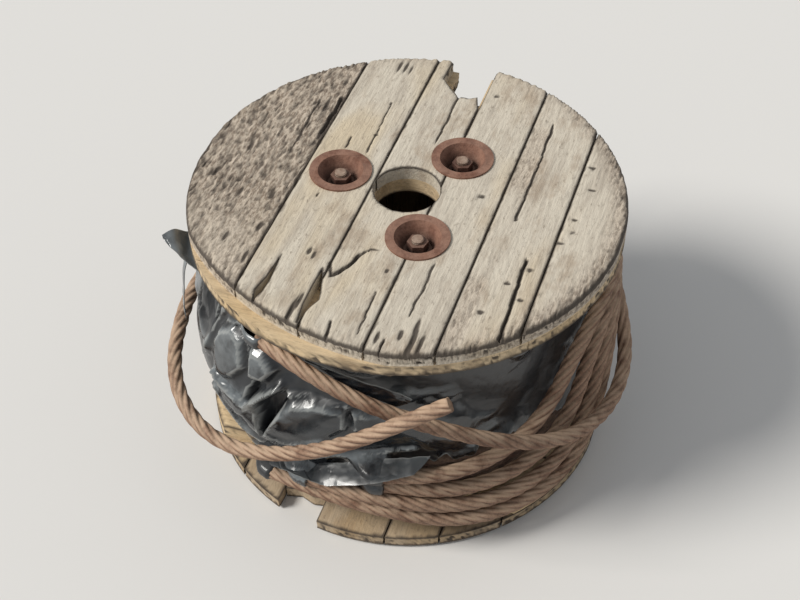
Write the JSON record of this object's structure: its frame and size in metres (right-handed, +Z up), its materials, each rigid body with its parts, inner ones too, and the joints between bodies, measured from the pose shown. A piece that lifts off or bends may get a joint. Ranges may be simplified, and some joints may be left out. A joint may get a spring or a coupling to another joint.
{
  "type": "wooden cable drum with wire rope",
  "caption": "Weathered two-ply wooden cable drum standing on end, wound with rusty steel wire rope under torn dark film, with loose outer turns and a free rope tail.",
  "frame": {"origin": "on the drum's axis, at the outer face of the bottom flange that the drum stands on", "axes": "+Z up along the drum's axis, -Y towards the viewer, +X to the viewer's right"},
  "size_m": [0.5066, 0.4858, 0.32],
  "materials": {
    "weathered_boards": "sun-bleached grey-cream sawn boards with dark seams, checks and nail holes",
    "sheltered_boards": "less weathered yellow-brown sawn boards",
    "barrel_wood": "plain planed staves",
    "rusty_fittings": "pressed and forged steel with dry brown rust",
    "wire_rope": "six-strand steel wire rope with dull brown rust",
    "film": "crumpled black polythene film, dusty and torn"
  },
  "bodies": {
    "root": {"top_outer_board_1": "weathered_boards", "top_outer_board_2": "weathered_boards", "top_outer_board_3": "weathered_boards", "top_outer_board_4": "weathered_boards", "top_outer_board_5": "weathered_boards", "top_outer_board_6": "weathered_boards", "top_inner_board_1": "sheltered_boards", "top_inner_board_2": "sheltered_boards", "top_inner_board_3": "sheltered_boards", "top_inner_board_4": "sheltered_boards", "top_inner_board_5": "sheltered_boards", "top_inner_board_6": "sheltered_boards", "bottom_inner_board_1": "sheltered_boards", "bottom_inner_board_2": "sheltered_boards", "bottom_inner_board_3": "sheltered_boards", "bottom_inner_board_4": "sheltered_boards", "bottom_inner_board_5": "sheltered_boards", "bottom_outer_board_1": "weathered_boards", "bottom_outer_board_2": "weathered_boards", "bottom_outer_board_3": "weathered_boards", "bottom_outer_board_4": "weathered_boards", "bottom_outer_board_5": "weathered_boards", "bottom_outer_board_6": "weathered_boards", "bottom_outer_board_7": "weathered_boards", "barrel_stave_1": "barrel_wood", "barrel_stave_2": "barrel_wood", "barrel_stave_3": "barrel_wood", "barrel_stave_4": "barrel_wood", "barrel_stave_5": "barrel_wood", "barrel_stave_6": "barrel_wood", "barrel_stave_7": "barrel_wood", "barrel_stave_8": "barrel_wood", "barrel_stave_9": "barrel_wood", "barrel_stave_10": "barrel_wood", "barrel_stave_11": "barrel_wood", "barrel_stave_12": "barrel_wood", "through_bolt_1": "rusty_fittings", "bolt_nut_1": "rusty_fittings", "top_cup_washer_1": "rusty_fittings", "bottom_cup_washer_1": "rusty_fittings", "through_bolt_2": "rusty_fittings", "bolt_nut_2": "rusty_fittings", "top_cup_washer_2": "rusty_fittings", "bottom_cup_washer_2": "rusty_fittings", "through_bolt_3": "rusty_fittings", "bolt_nut_3": "rusty_fittings", "top_cup_washer_3": "rusty_fittings", "bottom_cup_washer_3": "rusty_fittings", "wound_rope": "wire_rope", "film_wrap": "film", "rope_tail": "wire_rope", "loose_turn_1": "wire_rope", "loose_turn_2": "wire_rope", "loose_turn_3": "wire_rope", "loose_turn_4": "wire_rope", "loose_turn_5": "wire_rope"}
  },
  "joints": []
}
